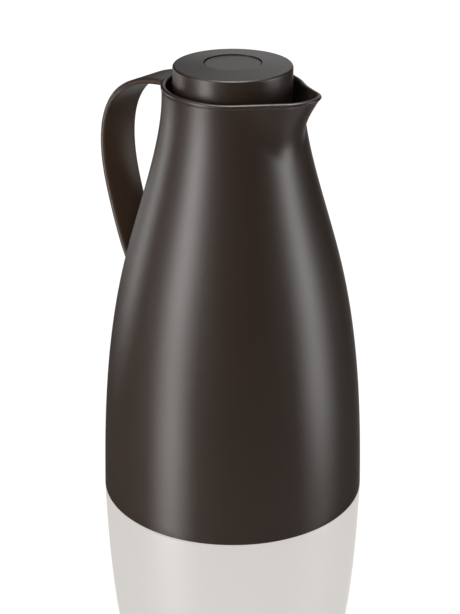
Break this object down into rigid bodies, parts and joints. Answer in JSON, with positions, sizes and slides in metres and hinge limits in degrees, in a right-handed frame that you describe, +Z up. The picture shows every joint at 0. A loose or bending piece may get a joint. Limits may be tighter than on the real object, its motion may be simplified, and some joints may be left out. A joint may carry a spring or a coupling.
{
  "type": "thermal carafe",
  "caption": "Tall insulated serving jug with a drawn-out spout, strap handle, glass liner and a screw-in stopper whose push button opens a pouring valve.",
  "frame": {"origin": "centre of the foot's flat underside, on the table", "axes": "+Z up along the body's axis, +X towards the spout, handle towards -X"},
  "size_m": [0.1515, 0.1404, 0.2362],
  "materials": {
    "jacket_plastic": "fine grained satin",
    "base_plastic": "satin",
    "inner_plastic": "satin",
    "silvered_glass": "silvered blown glass",
    "spacer_pad": "pressed fibre",
    "buffer_foam_rubber": "matt",
    "silicone": "matt moulded",
    "spring_steel": "drawn wire"
  },
  "bodies": {
    "carafe": {"outer_shell": "jacket_plastic", "handle": "jacket_plastic", "throat_collar": "inner_plastic", "collar_seal": "silicone", "neck_seal": "silicone", "liner_inner_flask": "silvered_glass", "liner_outer_flask": "silvered_glass", "vacuum_spacers": "spacer_pad", "liner_buffer": "buffer_foam_rubber", "base_cover": "base_plastic", "base_seal": "silicone"},
    "plug_gasket": {"plug_seal": "silicone"},
    "stopper": {"stopper_cap": "jacket_plastic", "stopper_plug": "inner_plastic", "stem_seal": "silicone", "button_spring": "spring_steel"},
    "push_button": {"button": "jacket_plastic", "valve_stem": "inner_plastic", "valve_plate": "inner_plastic", "valve_seal": "silicone", "stem_clip": "spring_steel"}
  },
  "joints": [
    {"name": "stopper_lift", "type": "slide", "parent": "carafe", "child": "plug_gasket", "axis": [0, 0, 1], "range_m": [0, 0.06]},
    {"name": "stopper_turn", "type": "hinge", "parent": "plug_gasket", "child": "stopper", "pos_m": [0, 0, 0.1954], "axis": [0, 0, 1], "range_deg": [0, 900]},
    {"name": "button_press", "type": "slide", "parent": "stopper", "child": "push_button", "axis": [0, 0, -1], "range_m": [0, 0.005], "stiffness_N_per_m": 800, "springref_m": -0.004, "deforming": ["button_spring"]}
  ],
  "couplings": [
    {"joint": "stopper_lift", "follows": "stopper_turn", "m_per_rad": 0.0038197}
  ]
}
